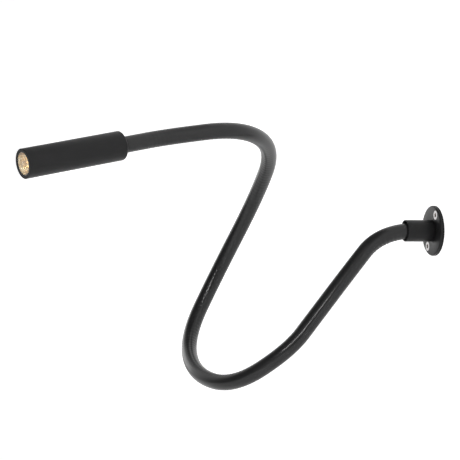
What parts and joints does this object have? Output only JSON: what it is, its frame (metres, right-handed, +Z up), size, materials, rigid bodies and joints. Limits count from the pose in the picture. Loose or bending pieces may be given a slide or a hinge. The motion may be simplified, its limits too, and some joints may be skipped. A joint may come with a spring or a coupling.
{
  "type": "led wall sconce",
  "caption": "Black LED reading light: round wall plate and collar, bendable sleeved gooseneck arm, tube head with reflector behind glass.",
  "frame": {"origin": "centre of the wall plate's back face, on the wall plane", "axes": "+Z up along the wall, +Y into the wall, +X to the right when facing the wall; the arm stands out towards -Y"},
  "size_m": [0.194, 0.3634, 0.211],
  "materials": {
    "black_coat": "matt black powder coat",
    "sleeve_black": "satin black sleeve",
    "coil_steel": "wound steel",
    "turned_steel": "turned, nickel plated",
    "zinc_steel": "zinc plated",
    "screw_steel": "bright zinc plated",
    "bush_plastic": "black nylon",
    "lead_insulation": "soft insulation",
    "sink_aluminium": "turned",
    "pad_grey": "soft pad",
    "board_white": "white solder mask",
    "package_white": "ceramic with phosphor",
    "dome_clear": "clear dome",
    "solder": "bright solder",
    "spacer_plastic": "black",
    "reflector_bright": "metallised, bright, warm",
    "glass_clear": "clear"
  },
  "bodies": {
    "wall_mount": {"rosette": "black_coat", "collar": "black_coat", "wall_ferrule": "turned_steel", "cable_bush": "bush_plastic", "wall_screws": "screw_steel", "gooseneck_coil_1": "coil_steel", "arm_sleeve_1": "sleeve_black", "arm_leads_1": "lead_insulation"},
    "arm_1": {"gooseneck_coil_2": "coil_steel", "arm_sleeve_2": "sleeve_black", "arm_leads_2": "lead_insulation"},
    "arm_2": {"gooseneck_coil_3": "coil_steel", "arm_sleeve_3": "sleeve_black", "arm_leads_3": "lead_insulation"},
    "arm_3": {"gooseneck_coil_4": "coil_steel", "arm_sleeve_4": "sleeve_black", "arm_leads_4": "lead_insulation"},
    "arm_4": {"gooseneck_coil_5": "coil_steel", "arm_sleeve_5": "sleeve_black", "arm_leads_5": "lead_insulation"},
    "arm_5": {"gooseneck_coil_6": "coil_steel", "arm_sleeve_6": "sleeve_black", "arm_leads_6": "lead_insulation"},
    "arm_6": {"gooseneck_coil_7": "coil_steel", "arm_sleeve_7": "sleeve_black", "arm_leads_7": "lead_insulation"},
    "arm_7": {"gooseneck_coil_8": "coil_steel", "arm_sleeve_8": "sleeve_black", "arm_leads_8": "lead_insulation"},
    "arm_8": {"gooseneck_coil_9": "coil_steel", "arm_sleeve_9": "sleeve_black", "arm_leads_9": "lead_insulation"},
    "arm_9": {"gooseneck_coil_10": "coil_steel", "arm_sleeve_10": "sleeve_black", "arm_leads_10": "lead_insulation"},
    "head": {"gooseneck_coil_11": "coil_steel", "arm_sleeve_11": "sleeve_black", "arm_leads_11": "lead_insulation", "head_tube": "black_coat", "head_ferrule": "turned_steel", "lock_washer": "zinc_steel", "lock_nut": "zinc_steel", "heat_sink": "sink_aluminium", "thermal_pad": "pad_grey", "led_board": "board_white", "led_package": "package_white", "led_dome": "dome_clear", "head_leads": "lead_insulation", "solder_joints": "solder", "reflector_spacer": "spacer_plastic", "reflector": "reflector_bright", "front_glass": "glass_clear", "bezel_ring": "black_coat"}
  },
  "joints": [
    {"name": "arm_swing", "type": "hinge", "parent": "wall_mount", "child": "arm_1", "pos_m": [0.0016, -0.078, -0.0372], "axis": [0.0414, -0.7769, 0.6283], "range_deg": [-35, 35], "deforming": ["arm_sleeve_1", "arm_leads_1", "arm_sleeve_2", "arm_leads_2"]},
    {"name": "arm_lift", "type": "hinge", "parent": "arm_1", "child": "arm_2", "pos_m": [-0.0105, -0.1425, -0.108], "axis": [-0.8025, 0.5967, 0], "range_deg": [-35, 35], "deforming": ["arm_sleeve_2", "arm_leads_2", "arm_sleeve_3", "arm_leads_3"]},
    {"name": "lower_bend_1", "type": "hinge", "parent": "arm_2", "child": "arm_3", "pos_m": [-0.052, -0.17, -0.12], "axis": [0.2727, -0.6568, 0.703], "range_deg": [-15, 30], "deforming": ["arm_sleeve_3", "arm_leads_3", "arm_sleeve_4", "arm_leads_4"]},
    {"name": "lower_bend_2", "type": "hinge", "parent": "arm_3", "child": "arm_4", "pos_m": [-0.1075, -0.1735, -0.1035], "axis": [0.1851, -0.7462, 0.6395], "range_deg": [-15, 30], "deforming": ["arm_sleeve_4", "arm_leads_4", "arm_sleeve_5", "arm_leads_5"]},
    {"name": "lower_bend_3", "type": "hinge", "parent": "arm_4", "child": "arm_5", "pos_m": [-0.141, -0.1545, -0.064], "axis": [-0.0582, -0.8766, 0.4777], "range_deg": [-15, 30], "deforming": ["arm_sleeve_5", "arm_leads_5", "arm_sleeve_6", "arm_leads_6"]},
    {"name": "arm_sway", "type": "hinge", "parent": "arm_5", "child": "arm_6", "pos_m": [-0.1295, -0.127, -0.0045], "axis": [-0.8619, 0.4388, 0.2543], "range_deg": [-30, 30], "deforming": ["arm_sleeve_6", "arm_leads_6", "arm_sleeve_7", "arm_leads_7"]},
    {"name": "upper_bend_1", "type": "hinge", "parent": "arm_6", "child": "arm_7", "pos_m": [-0.0835, -0.116, 0.0475], "axis": [-0.4498, -0.6113, 0.6512], "range_deg": [-15, 30], "deforming": ["arm_sleeve_7", "arm_leads_7", "arm_sleeve_8", "arm_leads_8"]},
    {"name": "upper_bend_2", "type": "hinge", "parent": "arm_7", "child": "arm_8", "pos_m": [-0.028, -0.1385, 0.073], "axis": [-0.4345, -0.2562, 0.8635], "range_deg": [-15, 30], "deforming": ["arm_sleeve_8", "arm_leads_8", "arm_sleeve_9", "arm_leads_9"]},
    {"name": "head_turn", "type": "hinge", "parent": "arm_8", "child": "arm_9", "pos_m": [-0.002, -0.1895, 0.076], "axis": [0, -0.13, 0.9915], "range_deg": [-35, 35], "deforming": ["arm_sleeve_9", "arm_leads_9", "arm_sleeve_10", "arm_leads_10"]},
    {"name": "head_tilt", "type": "hinge", "parent": "arm_9", "child": "head", "pos_m": [0.004, -0.2395, 0.06815], "axis": [-0.9558, -0.2941, 0], "range_deg": [-35, 35], "deforming": ["arm_sleeve_10", "arm_leads_10", "arm_sleeve_11", "arm_leads_11"]}
  ],
  "couplings": [
    {"joint": "lower_bend_2", "follows": "lower_bend_1", "ratio": 1},
    {"joint": "lower_bend_3", "follows": "lower_bend_1", "ratio": 1},
    {"joint": "upper_bend_2", "follows": "upper_bend_1", "ratio": 1}
  ]
}
